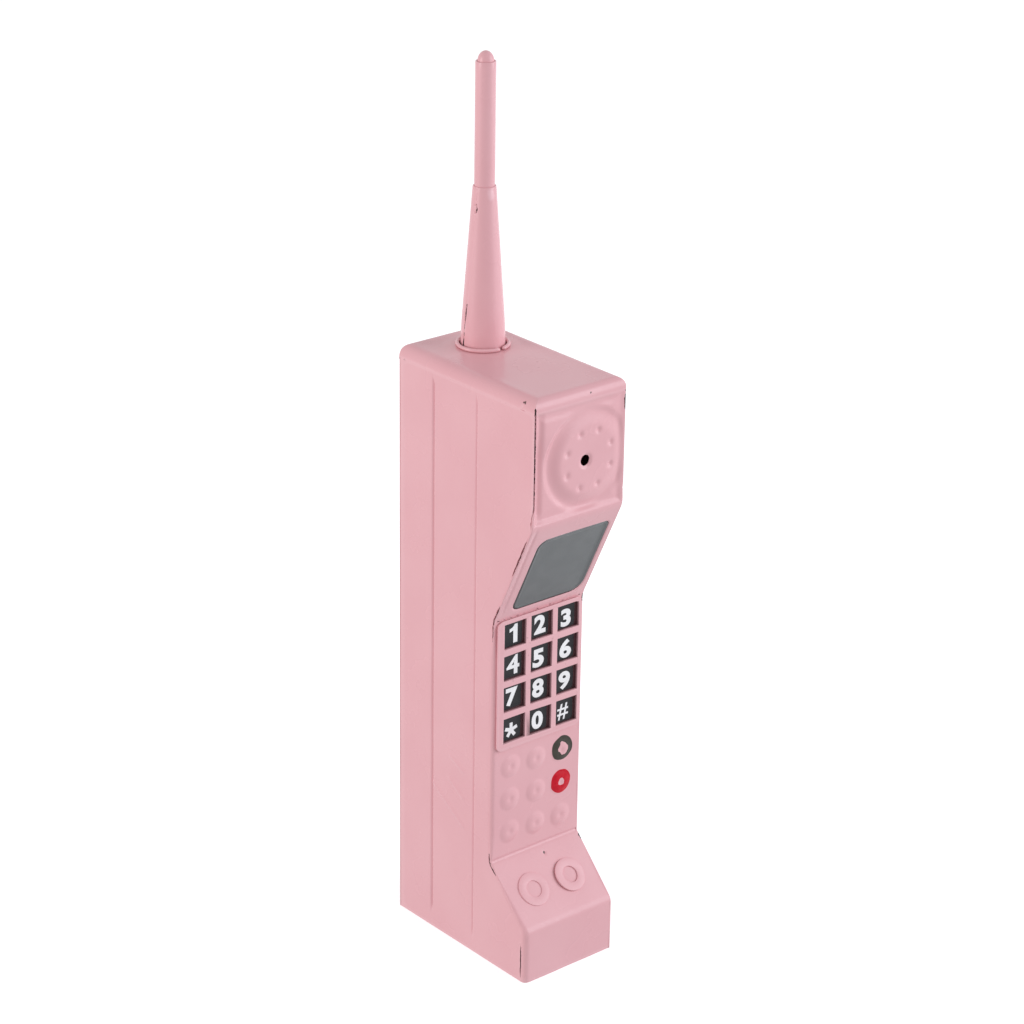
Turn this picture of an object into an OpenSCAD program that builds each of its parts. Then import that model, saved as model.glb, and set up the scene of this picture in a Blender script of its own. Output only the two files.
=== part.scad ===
// Toy cell phone: a folded sheet-metal model of an early handheld telephone.
// Millimetres. +Z is up, the keypad faces -Y, and the origin is the middle of the base.

/* [Casing] */
// Width across the two side sheets
body_w = 40; // [39.5:0.5:44]
// Depth from the chin to the back
body_d = 71; // [70:0.5:76]
// Height of the casing, without the antenna
body_h = 218; // [216:1:226]
// Thickness of the sheet metal
sheet_t = 0.8; // [0.6:0.05:0.85]
// Radius of the rolled edges of the top
top_r = 4.5; // [4:0.25:5]
// Depth of the lips that the front and back sheets fold round onto the sides
lip = 1.8; // [1.2:0.1:2.2]
// Depth of the inner flanges that the side sheets are brazed to
flange = 6; // [4:0.5:7]
// Open slit between two sheets
slit = 0.15; // [0.1:0.05:0.25]

/* [Front profile] */
// How far the keypad stands back from the head and the chin
setback = 19.1; // [16:0.1:21]
// Height where the head ends and the display slope begins
head_z = 172.5; // [170:0.5:174]
// Height of the knee between the display slope and the keypad
knee_z = 132.5; // [132:0.5:134]
// Height where the keypad ends and the mouth slope begins
mouth_z = 39.8; // [38:0.2:41]
// Height of the bend between the mouth slope and the chin
chin_z = 20.2; // [18:0.2:22]

/* [Earpiece] */
// Sideways place of the earpiece
ear_x = 2.4; // [-2.4:0.1:2.4]
// Height of the earpiece
ear_z = 192; // [191:0.25:192]
// Outer radius of the pressed ring
ear_r = 15.9; // [14:0.1:15.9]
// Radius of the raised middle
plateau_r = 13.1; // [11.5:0.1:13.3]
// Depth of the pressed ring
ear_depth = 1.5; // [0.8:0.1:1.6]
// Radius of the sound hole
ear_hole_r = 1.9; // [1.2:0.1:2.5]
// Number of dimples round the sound hole
dimples = 8; // [6:1:10]

/* [Display] */
// Width of the display window
display_w = 31; // [24:0.5:31]
// Height of the display window, along the slope
display_h = 34.2; // [28:0.2:34.2]
// Sideways place of the display window
display_x = 1.7; // [0:0.1:1.7]
// Distance down the slope from the head's edge to the window
display_drop = 6.5; // [5:0.1:6.5]

/* [Keypad] */
// Width of a key well
well_w = 9.7; // [8.5:0.1:9.9]
// Height of a key well
well_h = 9.5; // [8.5:0.1:9.7]
// Distance from well to well, both ways
well_pitch = 11.9; // [11.2:0.1:11.9]
// Sideways place of the middle column
grid_x = 0.9; // [-0.9:0.1:0.9]
// Height of the top row of wells
top_row_z = 126.1; // [125.5:0.1:126.2]
// How far the grid stands proud of the sheet round it
grid_proud = 0.9; // [0.5:0.1:1]

/* [Pressed buttons and mouth] */
// Diameter of a pressed button
button_d = 8.6; // [7:0.1:9.4]
// Height of a pressed button
button_rise = 0.8; // [0.4:0.1:1]
// Outer diameter of a mouth washer
washer_d = 12.5; // [10:0.1:14]
// Hole in a mouth washer
washer_hole_d = 6; // [4:0.1:7]

/* [Antenna] */
// Sideways place of the antenna
antenna_x = 2.5; // [-3:0.1:3]
// Place of the antenna behind the middle
antenna_y = 18; // [14:0.5:18]
// Overall height of the phone, to the tip of the antenna
total_h = 320; // [316:1:326]
// Height of the mouth of the cone
cone_top_z = 274.3; // [270:0.1:276]
// Outer diameter of the cone's straight foot
foot_d = 15.3; // [14.5:0.1:15.8]
// Outer diameter of the cone's mouth
mouth_d = 8; // [7.9:0.1:8.4]
// Outer diameter of the mast
mast_d = 7; // [6.6:0.05:7]
// Length of the foot that stands in the socket
foot_len = 18; // [12:1:20]

/* [Hidden] */
$fn = 48;
eps = 0.01;
over = 1;             // how far a cutting shape reaches past the face it cuts
w2 = body_w / 2;
d2 = body_d / 2;
cap_z = body_h - top_r;
inner_w2 = w2 - sheet_t;
rim_h = 6;            // height of the bottom plate's upturned rim
skirt_h = 4;          // how far the top cap's skirt reaches down inside the casing
skirt_weld = 1.5;     // how far the skirt reaches up inside the cap
flange_z0 = rim_h + slit;
flange_z1 = cap_z - skirt_h - slit;
keypad_y = -d2 + setback;
slope_tilt = atan2(setback, head_z - knee_z);
slope_len = norm([setback, head_z - knee_z]);
mouth_tilt = -atan2(setback, mouth_z - chin_z);

// Pressed details of the front
plateau_drop = 0.3;
dimple_ring_r = 10.3;
dimple_start = 22.5;  // angle of the first dimple
dimple_r = 1.6;
dimple_depth = 0.45;
window_r = 2.5;
pane_margin = 1.1;
knee_lap = 2.3;
frame_w = 37.7;
frame_side = 0.65;    // how much smaller the grid is where it sits in the sheet's opening
frame_r = 3;
frame_border = 2.65;  // strip of the grid below the bottom row of wells
frame_top_z = knee_z - 0.1;
frame_bottom_z = top_row_z - 3 * well_pitch - well_h / 2 - frame_border;
fit_gap = 0.1;
plate_gap = 0.2;      // gap between a number plate and the walls of its well
plate_t = 0.4;
plate_strip = 0.9;    // strip of the well's floor left bare on the right of a plate
plate_lap = 2;        // how far the back plate reaches below the grid
key_names = ["1", "2", "3", "4", "5", "6", "7", "8", "9", "star", "0", "hash"];
button_pitch_x = 11.6;
button_pitch_z = 12.8;
button_top_z = 75;
button_mid_x = -0.1;
button_dimple_r = 1.5;
button_dimple_depth = 0.5;
washer_x = 8.3;
washer_up = 13.5;     // distance up the mouth slope from the chin
washer_t = 0.6;

// Creases pressed into the side sheets
crease_ys = [-6, 17];
crease_w = 0.6;
crease_depth = 0.3;
crease_z0 = 5;
crease_z1 = 211.5;

// Antenna
cone_wall = 0.5;
taper_z = 223;        // where the straight foot ends and the taper begins
neck_len = 4;
running = 0.05;       // radial clearance of the sliding fits
hole_gap = 0.3;       // radial clearance of the hole in the top
socket_wall = 0.8;
socket_flange_r = 11;
socket_below = 2;     // how far the socket reaches below the foot
ring_wire_r = 0.7;
ring_r = 8.8;
ring_gap_angle = 8;   // opening between the ends of the wire
ring_gap_dir = -85;
mast_wall = 0.6;
tip_r = 2.8;
tip_h = 3.4;
tip_stem = 4;
mast_top_z = total_h - tip_h;
mast_bottom_z = 258;
stop_h = 4;
stop_r = 4.2;

// Colours
pink = [0.88, 0.68, 0.71];
steel = [0.45, 0.43, 0.42];
grey = [0.44, 0.45, 0.46];
black = [0.12, 0.12, 0.13];

// ---- Outlines in the side view, as [y, z] points ----

// Outer face of the whole front, from the base to height z1
function front_path(z0, z1) =
    [[-d2, z0], [-d2, chin_z], [keypad_y, mouth_z], [keypad_y, knee_z], [-d2, head_z], [-d2, z1]];

// The lower front sheet's part of it, up to the knee
function lower_path(z0) = [for (i = [0:3]) front_path(z0, cap_z)[i]];

// The upper front sheet's part of it, from just above the knee to height z1
function upper_path(z1) = [on_slope_path(slit), [-d2, head_z], [-d2, z1]];

// The point that lies this far up the display slope from the knee
function on_slope_path(up) = [keypad_y, knee_z] + up * [-sin(slope_tilt), cos(slope_tilt)];

function unit(v) = v / norm(v);
function inward(p, i) = let (v = unit(p[i + 1] - p[i])) [v[1], -v[0]];
function mitre(p, i) =
    i == 0 ? inward(p, 0)
    : i == len(p) - 1 ? inward(p, i - 1)
    : let (a = inward(p, i - 1), b = inward(p, i)) (a + b) / (1 + a * b);
// The path moved into the casing by d, with mitred corners
function inset(p, d) = [for (i = [0:len(p) - 1]) p[i] + d * mitre(p, i)];
function reversed(p) = [for (i = [len(p) - 1:-1:0]) p[i]];
// The strip between two insets of a path
function band(p, from, to) = concat(inset(p, from), reversed(inset(p, to)));

// ---- Helpers ----

// Draws a [y, z] outline between two places along X
module across(x0, x1) {
    translate([x0, 0, 0])
        rotate([90, 0, 90])
            linear_extrude(x1 - x0)
                children();
}

// Draws the same thing on both sides
module both_sides() {
    children();
    mirror([1, 0, 0])
        children();
}

// A sheet bent along a path, with its lips on the sides and the flanges inside them
module tray(path, flange_path) {
    across(-w2, w2)
        polygon(band(path, 0, sheet_t));
    both_sides() {
        across(inner_w2, w2)
            polygon(band(path, 0, lip));
        across(inner_w2 - sheet_t, inner_w2)
            polygon(band(flange_path, 0, flange));
    }
}

// Rectangle in X and Z with round corners, t thick towards +Y, from its lower left corner
module rounded_plate(w, h, r, t) {
    translate([0, t, 0])
        rotate([90, 0, 0])
            linear_extrude(t)
                rounded_square(w, h, r);
}

module rounded_square(w, h, r) {
    translate([r, 0])
        square([w - 2 * r, h]);
    translate([0, r])
        square([w, h - 2 * r]);
    for (x = [r, w - r], y = [r, h - r])
        translate([x, y])
            circle(r);
}

// Local frame on the display slope: Z runs up the slope from the knee, -Y points out
module on_display_slope() {
    translate([0, keypad_y, knee_z])
        rotate([slope_tilt, 0, 0])
            children();
}

// Local frame on the mouth slope: Z runs up the slope from the chin, -Y points out
module on_mouth_slope() {
    translate([0, -d2, chin_z])
        rotate([mouth_tilt, 0, 0])
            children();
}

// Local frame of the earpiece: Z points into the casing
module at_earpiece() {
    translate([ear_x, -d2, ear_z])
        rotate([-90, 0, 0])
            children();
}

// ---- Casing ----

module side_panel() {
    back_y = d2 - lip - slit;
    top = cap_z - slit;
    difference() {
        across(inner_w2, w2)
            polygon(concat(inset(front_path(0, top), lip + slit), [[back_y, top], [back_y, 0]]));
        for (y = crease_ys)
            translate([w2 - crease_depth, y - crease_w / 2, crease_z0])
                cube([crease_depth + over, crease_w, crease_z1 - crease_z0]);
    }
}

module right_side_panel() {
    color(pink)
        side_panel();
}

module left_side_panel() {
    color(pink)
        mirror([1, 0, 0])
            side_panel();
}

module back_panel() {
    color(pink)
        mirror([0, 1, 0])
            tray([[-d2, 0], [-d2, cap_z]], [[-d2, flange_z0], [-d2, flange_z1]]);
}

// Upper half of a bar's cross-section whose two top corners have radius r
module rolled_top(w, r) {
    intersection() {
        union() {
            translate([-w / 2 + r, 0])
                square([w - 2 * r, r]);
            for (s = [-1, 1])
                translate([s * (w / 2 - r), 0])
                    circle(r);
        }
        translate([-w / 2, 0])
            square([w, r]);
    }
}

// Solid lid with rolled edges all round and mitred corners
module rolled_lid(w, d, r) {
    intersection() {
        rotate([90, 0, 0])
            translate([0, 0, -d / 2])
                linear_extrude(d)
                    rolled_top(w, r);
        across(-w / 2, w / 2)
            rolled_top(d, r);
    }
}

module top_cap() {
    color(pink)
        difference() {
            translate([0, 0, cap_z])
                union() {
                    difference() {
                        rolled_lid(body_w, body_d, top_r);
                        translate([0, 0, -eps])
                            rolled_lid(body_w - 2 * sheet_t, body_d - 2 * sheet_t, top_r - sheet_t + eps);
                    }
                    rectangular_rim(skirt_h + skirt_weld, -skirt_h);
                }
            translate([antenna_x, antenna_y, cap_z])
                cylinder(h = top_r + over, r = foot_d / 2 + hole_gap);
        }
}

// Rim that fits inside the side, front and back sheets
module rectangular_rim(h, z0) {
    translate([0, 0, z0 + h / 2])
        difference() {
            cube([body_w - 2 * sheet_t, body_d - 2 * sheet_t, h], center = true);
            cube([body_w - 4 * sheet_t, body_d - 4 * sheet_t, h + over], center = true);
        }
}

module bottom_plate() {
    color(pink) {
        translate([-inner_w2, -d2 + sheet_t, 0])
            cube([2 * inner_w2, body_d - 2 * sheet_t, sheet_t]);
        rectangular_rim(rim_h, 0);
    }
}

// ---- Front ----

module ear_dimples() {
    for (i = [0:dimples - 1])
        rotate(dimple_start + i * 360 / dimples)
            translate([dimple_ring_r, 0, plateau_drop + dimple_depth - dimple_r])
                sphere(dimple_r);
}

module front_upper_panel() {
    color(pink)
        difference() {
            union() {
                tray(upper_path(cap_z), upper_path(flange_z1));
                at_earpiece()
                    cylinder(h = sheet_t + ear_depth, r = ear_r + sheet_t);
            }
            at_earpiece() {
                difference() {
                    translate([0, 0, -over])
                        cylinder(h = ear_depth + over, r = ear_r);
                    translate([0, 0, -2 * over])
                        cylinder(h = ear_depth + 3 * over, r = plateau_r);
                }
                translate([0, 0, -over])
                    cylinder(h = plateau_drop + over, r = plateau_r + eps);
                translate([0, 0, plateau_drop + sheet_t])
                    cylinder(h = ear_depth + over, r = plateau_r - sheet_t);
                translate([0, 0, -over])
                    cylinder(h = ear_depth + sheet_t + 2 * over, r = ear_hole_r);
                ear_dimples();
            }
            on_display_slope()
                translate([display_x - display_w / 2, -over, slope_len - display_drop - display_h])
                    rounded_plate(display_w, display_h, window_r, sheet_t + 2 * over);
        }
}

module display_pane() {
    color(grey)
        on_display_slope()
            translate([display_x - display_w / 2 - pane_margin, sheet_t,
                       slope_len - display_drop - display_h - pane_margin])
                rounded_plate(display_w + 2 * pane_margin, display_h + 2 * pane_margin, window_r, sheet_t);
}

// A pressed button: a low round dome with a dimple in its middle
module pressed_button() {
    r = button_d / 2;
    dome_r = (r * r + button_rise * button_rise) / (2 * button_rise);
    rotate([90, 0, 0])
        difference() {
            intersection() {
                translate([0, 0, button_rise - dome_r])
                    sphere(dome_r);
                translate([0, 0, -sheet_t / 2])
                    cylinder(h = sheet_t / 2 + button_rise + over, r = r);
            }
            translate([0, 0, button_rise + button_dimple_r - button_dimple_depth])
                sphere(button_dimple_r);
        }
}

module front_lower_panel() {
    opening_w = frame_w - 2 * frame_side + 2 * fit_gap;
    opening_h = frame_top_z - frame_bottom_z - 2 * frame_side + 2 * fit_gap;
    color(pink) {
        difference() {
            tray(lower_path(0), lower_path(flange_z0));
            translate([-opening_w / 2, keypad_y - over, frame_bottom_z + frame_side - fit_gap])
                rounded_plate(opening_w, opening_h, frame_r, sheet_t + 2 * over);
        }
        for (column = [-1:1], row = [0:2])
            translate([button_mid_x + column * button_pitch_x, keypad_y, button_top_z - row * button_pitch_z])
                pressed_button();
    }
}

// Calls its children in each of the twelve wells, at the well's middle
module at_each_well() {
    for (i = [0:len(key_names) - 1])
        translate(well_centre(i))
            children();
}

function well_centre(i) =
    [grid_x + (i % 3 - 1) * well_pitch, keypad_y, top_row_z - floor(i / 3) * well_pitch];

module keypad_grid() {
    frame_h = frame_top_z - frame_bottom_z;
    color(pink)
        difference() {
            union() {
                translate([-frame_w / 2, keypad_y - grid_proud, frame_bottom_z])
                    rounded_plate(frame_w, frame_h, frame_r, grid_proud);
                translate([-frame_w / 2 + frame_side, keypad_y - eps, frame_bottom_z + frame_side])
                    rounded_plate(frame_w - 2 * frame_side, frame_h - 2 * frame_side, frame_r, sheet_t + eps);
            }
            at_each_well()
                cube([well_w, 2 * (sheet_t + grid_proud + over), well_h], center = true);
        }
}

module keypad_back_plate() {
    path = [[keypad_y, frame_bottom_z - plate_lap], [keypad_y, knee_z], on_slope_path(knee_lap)];
    color(pink)
        across(-inner_w2 + sheet_t, inner_w2 - sheet_t)
            polygon(band(path, sheet_t, 2 * sheet_t));
}

module number_plate(i) {
    color(black)
        translate(well_centre(i))
            translate([-well_w / 2 + plate_gap, sheet_t - plate_t, -well_h / 2 + plate_gap])
                cube([well_w - plate_gap - plate_strip, plate_t, well_h - 2 * plate_gap]);
}

module mouth_washer(side) {
    color(pink)
        on_mouth_slope()
            translate([side * washer_x, 0, washer_up])
                rotate([90, 0, 0])
                    difference() {
                        cylinder(h = washer_t, r = washer_d / 2);
                        translate([0, 0, -over])
                            cylinder(h = washer_t + 2 * over, r = washer_hole_d / 2);
                    }
}

module mouth_washer_left() {
    mouth_washer(-1);
}

module mouth_washer_right() {
    mouth_washer(1);
}

// ---- Antenna ----

// Moves its children to the antenna's axis
module on_antenna() {
    translate([antenna_x, antenna_y, 0])
        children();
}

module antenna_socket() {
    bore_r = foot_d / 2 + running;
    socket_top = body_h - sheet_t;
    socket_bottom = body_h - foot_len - socket_below;
    color(steel)
        on_antenna()
            difference() {
                union() {
                    translate([0, 0, socket_bottom])
                        cylinder(h = socket_top - socket_bottom, r = bore_r + socket_wall);
                    translate([0, 0, socket_top - sheet_t])
                        cylinder(h = sheet_t, r = socket_flange_r);
                }
                translate([0, 0, socket_bottom - over])
                    cylinder(h = socket_top - socket_bottom + 2 * over, r = bore_r);
            }
}

// Radius of the cone's outer face at height z, above the straight foot
function cone_r(z) =
    foot_d / 2 + (mouth_d - foot_d) / 2 * (z - taper_z) / (cone_top_z - taper_z);

module antenna_cone() {
    foot_z = body_h - foot_len;
    neck_z = cone_top_z - neck_len;
    color(pink)
        on_antenna()
            rotate_extrude()
                polygon([
                    [foot_d / 2, foot_z],
                    [foot_d / 2, taper_z],
                    [mouth_d / 2, cone_top_z],
                    [mast_d / 2 + running, cone_top_z],
                    [mast_d / 2 + running, neck_z],
                    [cone_r(neck_z) - cone_wall, neck_z],
                    [foot_d / 2 - cone_wall, taper_z],
                    [foot_d / 2 - cone_wall, foot_z]]);
}

module antenna_ring() {
    tack_r = 0.6;
    color(pink)
        on_antenna()
            translate([0, 0, body_h + ring_wire_r]) {
                rotate(ring_gap_dir + ring_gap_angle / 2)
                    rotate_extrude(angle = 360 - ring_gap_angle)
                        translate([ring_r, 0])
                            circle(ring_wire_r, $fn = 32);
                translate([-foot_d / 2, -tack_r, -ring_wire_r / 2])
                    mirror([1, 0, 0])
                        cube([ring_r - foot_d / 2, 2 * tack_r, ring_wire_r]);
            }
}

module antenna_mast() {
    color(pink)
        on_antenna()
            translate([0, 0, mast_bottom_z])
                difference() {
                    cylinder(h = mast_top_z - mast_bottom_z, r = mast_d / 2);
                    translate([0, 0, -over])
                        cylinder(h = mast_top_z - mast_bottom_z + 2 * over, r = mast_d / 2 - mast_wall);
                }
}

module antenna_tip() {
    dome_r = (tip_r * tip_r + tip_h * tip_h) / (2 * tip_h);
    color(pink)
        on_antenna()
            translate([0, 0, mast_top_z]) {
                intersection() {
                    translate([0, 0, tip_h - dome_r])
                        sphere(dome_r);
                    cylinder(h = tip_h + over, r = tip_r);
                }
                translate([0, 0, -tip_stem])
                    cylinder(h = tip_stem + eps, r = tip_r);
            }
}

module mast_stop() {
    color(steel)
        on_antenna()
            translate([0, 0, mast_bottom_z])
                difference() {
                    cylinder(h = stop_h, r = stop_r);
                    translate([0, 0, -over])
                        cylinder(h = stop_h + 2 * over, r = mast_d / 2);
                }
}

left_side_panel();
right_side_panel();
back_panel();
top_cap();
bottom_plate();
front_upper_panel();
front_lower_panel();
display_pane();
keypad_grid();
keypad_back_plate();
for (i = [0:len(key_names) - 1])
    number_plate(i);
mouth_washer_left();
mouth_washer_right();
antenna_socket();
antenna_cone();
antenna_ring();
antenna_mast();
antenna_tip();
mast_stop();
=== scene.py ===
"""Painted sheet-metal toy phone. Shapes are worked out in millimetres and made in metres."""

import math
import random

import bpy
import bmesh
import numpy as np
from mathutils import Matrix, Vector


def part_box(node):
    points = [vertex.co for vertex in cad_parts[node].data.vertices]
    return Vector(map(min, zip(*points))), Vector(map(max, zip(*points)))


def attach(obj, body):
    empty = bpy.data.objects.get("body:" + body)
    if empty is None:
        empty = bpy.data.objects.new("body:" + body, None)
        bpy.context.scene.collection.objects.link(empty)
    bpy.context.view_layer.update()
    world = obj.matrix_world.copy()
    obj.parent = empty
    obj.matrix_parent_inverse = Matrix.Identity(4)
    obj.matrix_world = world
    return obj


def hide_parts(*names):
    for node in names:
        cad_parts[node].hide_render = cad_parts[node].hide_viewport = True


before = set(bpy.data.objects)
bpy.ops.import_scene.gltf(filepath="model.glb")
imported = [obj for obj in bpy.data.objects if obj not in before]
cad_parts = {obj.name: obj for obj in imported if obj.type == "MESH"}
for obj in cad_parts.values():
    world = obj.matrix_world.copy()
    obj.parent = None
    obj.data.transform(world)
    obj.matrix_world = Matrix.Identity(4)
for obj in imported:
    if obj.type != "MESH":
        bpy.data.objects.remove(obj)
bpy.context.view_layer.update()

MM = 0.001
RNG = random.Random(7)


def box_mm(node):
    low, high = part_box(node)
    return np.array(low) / MM, np.array(high) / MM


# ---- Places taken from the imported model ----
_, cap_high = box_mm("top_cap")
HALF_W, HALF_D, BODY_H = cap_high
grid_low, grid_high = box_mm("keypad_grid")
GRID_PROUD = 0.9
KEYPAD_Y = grid_low[1] + GRID_PROUD
KNEE_Z = grid_high[2] + 0.1
cone_low, cone_high = box_mm("antenna_cone")
AXIS_X, AXIS_Y = (cone_low[:2] + cone_high[:2]) / 2
FOOT_R = (cone_high[0] - cone_low[0]) / 2
CONE_TOP = cone_high[2]
mast_low, mast_high = box_mm("antenna_mast")
MAST_R = (mast_high[0] - mast_low[0]) / 2
MOUTH_R = 4.0
tip_low, tip_high = box_mm("antenna_tip")
TIP_R = (tip_high[0] - tip_low[0]) / 2
ring_low, ring_high = box_mm("antenna_ring")
WIRE_R = (ring_high[2] - ring_low[2]) / 2

# ---- Bends of the front, as heights ----
HEAD_Z = 172.5
MOUTH_Z = 39.8
CHIN_Z = 20.2
TOP_ROLL = 4.5
CAP_Z = BODY_H - TOP_ROLL
SHEET = 0.6
FRONT = [(-HALF_D, 0), (-HALF_D, CHIN_Z), (KEYPAD_Y, MOUTH_Z), (KEYPAD_Y, KNEE_Z),
         (-HALF_D, HEAD_Z), (-HALF_D, CAP_Z)]
SLOPE_LEN = math.hypot(HALF_D + KEYPAD_Y, HEAD_Z - KNEE_Z)
TAPER_Z = 223.0


# ---- Small mathematics ----
def smooth(a, b, x):
    """0 below a, 1 above b, and an S-curve between them."""
    t = np.clip((np.asarray(x, float) - a) / (np.asarray(b, float) - a), 0, 1)
    return t * t * (3 - 2 * t)


def bell(x, width):
    return np.exp(-(np.asarray(x, float) / width) ** 2)


def waves(x, z, size, seed):
    """Soft unevenness of hand-formed sheet, between about -1 and 1."""
    rng = random.Random(seed)
    total = 0
    for _ in range(5):
        a = rng.uniform(0, math.tau)
        k = math.tau / (size * rng.uniform(0.7, 1.8))
        total = total + np.sin(k * (x * math.cos(a) + z * math.sin(a)) + rng.uniform(0, math.tau))
    return total / 3


def rounded_rect(x, y, w, h, radii):
    """Signed distance to a rectangle about the origin, positive outside.
    radii: top left, top right, bottom right, bottom left."""
    tl, tr, br, bl = radii
    r = np.where(y > 0, np.where(x > 0, tr, tl), np.where(x > 0, br, bl))
    qx = np.abs(x) - w / 2 + r
    qy = np.abs(y) - h / 2 + r
    return np.minimum(np.maximum(qx, qy), 0) + np.hypot(np.maximum(qx, 0), np.maximum(qy, 0)) - r


def rounded_path(points, radii, steps=10):
    """Corner points joined by straight runs, with each inner corner rounded."""
    points = [np.array(p, float) for p in points]
    out = [points[0]]
    for a, p, b, r in zip(points, points[1:], points[2:], radii):
        u = (p - a) / np.linalg.norm(p - a)
        w = (b - p) / np.linalg.norm(b - p)
        turn = math.atan2(u[0] * w[1] - u[1] * w[0], u @ w)
        left = np.array([-u[1], u[0]]) * math.copysign(1, turn)
        start = p - u * r * math.tan(abs(turn) / 2)
        for k in range(steps + 1):
            t = turn * k / steps
            c, s = math.cos(t), math.sin(t)
            spoke = -left * r
            turned_spoke = np.array([c * spoke[0] - s * spoke[1], s * spoke[0] + c * spoke[1]])
            out.append(start + left * r + turned_spoke)
    out.append(points[-1])
    return np.array(out)


class Track:
    """A path in the side view, [y, z], read by the distance along it."""

    def __init__(self, points):
        self.p = points
        self.s = np.concatenate([[0], np.cumsum(np.hypot(*np.diff(points, axis=0).T))])
        self.length = self.s[-1]

    def at(self, s):
        return np.stack([np.interp(s, self.s, self.p[:, k]) for k in (0, 1)], -1)

    def outward(self, s, reach=0.12):
        d = self.at(np.minimum(s + reach, self.length)) - self.at(np.maximum(s - reach, 0))
        d = d / np.linalg.norm(d, axis=-1, keepdims=True)
        return np.stack([-d[..., 1], d[..., 0]], -1)

    def near(self, z):
        return np.interp(z, self.p[:, 1], self.s)

    def stations(self, spacing, keep=()):
        """Distances along the path at which rows are made; spacing is a function of z."""
        s, out = 0.0, [0.0]
        while s < self.length - 0.2:
            s += spacing(self.at(s)[1])
            out.append(min(s, self.length))
        out[-1] = self.length
        return np.array(sorted(set(out) | {float(k) for k in keep}))


# ---- Meshes ----
def new_object(name, data):
    ob = bpy.data.objects.new(name, data)
    bpy.context.collection.objects.link(ob)
    return ob


def sharpen_border(me):
    """Marks the open border of a sheet as sharp, so that its cut edge isn't shaded round."""
    used = np.zeros(len(me.loops), int)
    me.loops.foreach_get("edge_index", used)
    sharp = np.zeros(len(me.edges), bool)
    me.edges.foreach_get("use_edge_sharp", sharp)
    me.edges.foreach_set("use_edge_sharp", sharp | (np.bincount(used, minlength=len(me.edges)) == 1))


def piece(name, verts, faces, body, replaces=(), slot="pink_paint", sharp=40):
    me = bpy.data.meshes.new(name)
    me.from_pydata((np.asarray(verts, float) * MM).tolist(), [], faces)
    me.validate()
    me.polygons.foreach_set("use_smooth", [True] * len(me.polygons))
    me.set_sharp_from_angle(angle=math.radians(sharp))
    sharpen_border(me)
    ob = new_object(name, me)
    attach(ob, body)
    if replaces:
        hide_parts(*replaces)
    return ob


def clipped_grid(points, field=None, flip=False):
    """Faces of a grid of points, without the part where field is negative.
    Cells on the border are cut exactly, and unused points are left out."""
    rows, cols = points.shape[:2]
    verts, index, faces = [], {}, []
    snap = 0.03

    def corner(r, c):
        if (r, c) not in index:
            index[r, c] = len(verts)
            verts.append(points[r, c])
        return index[r, c]

    def crossing(p, q):
        key = (min(p, q), max(p, q))
        if key not in index:
            a, b = field[key[0]], field[key[1]]
            t = a / (a - b)
            index[key] = len(verts)
            verts.append(points[key[0]] * (1 - t) + points[key[1]] * t)
        return index[key]

    if field is not None:
        field = np.where(np.abs(field) < snap, snap, field)
    for r in range(rows - 1):
        for c in range(cols - 1):
            ring = [(r, c), (r, c + 1), (r + 1, c + 1), (r + 1, c)]
            if field is None:
                face = [corner(*p) for p in ring]
            else:
                inside = [field[p] > 0 for p in ring]
                if not any(inside):
                    continue
                face = []
                for k, p in enumerate(ring):
                    q = ring[(k + 1) % 4]
                    if inside[k]:
                        face.append(corner(*p))
                    if inside[k] != inside[(k + 1) % 4]:
                        face.append(crossing(p, q))
            if len(set(face)) > 2:
                faces.append(face[::-1] if flip else face)
    return verts, faces


def thicken(ob, depth=SHEET):
    """Gives a sheet its thickness, inwards."""
    solid = ob.modifiers.new("thickness", "SOLIDIFY")
    solid.thickness = depth * MM
    solid.offset = -1


def soften(ob, width, segments, angle):
    """Rounds every edge that turns by more than this angle, in degrees."""
    bevel = ob.modifiers.new("soft_edges", "BEVEL")
    bevel.width = width * MM
    bevel.segments = segments
    bevel.limit_method = "ANGLE"
    bevel.angle_limit = math.radians(angle)


def band_faces(steps, count, wrap_steps=True, wrap_count=True):
    """Faces between neighbouring rings of points, count points to a ring."""
    faces = []
    for k in range(steps):
        m = (k + 1) % steps if wrap_steps else k + 1
        for i in range(count if wrap_count else count - 1):
            j = (i + 1) % count
            faces.append([k * count + i, m * count + i, m * count + j, k * count + j])
    return faces


def turned(profile, steps, shape):
    """A closed [r, z] outline turned round the antenna's axis.
    shape(angle, r, z) gives the radius there."""
    verts = []
    for k in range(steps):
        a = math.tau * k / steps
        for r, z in profile:
            r = shape(a, r, z)
            verts.append((AXIS_X + r * math.cos(a), AXIS_Y + r * math.sin(a), z))
    return verts, band_faces(steps, len(profile))


# ---- Sheets folded over the casing's long sides ----
ROLL_STEPS = 7
TUCK = 0.12           # how far a rolled edge reaches past its quarter turn


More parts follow.
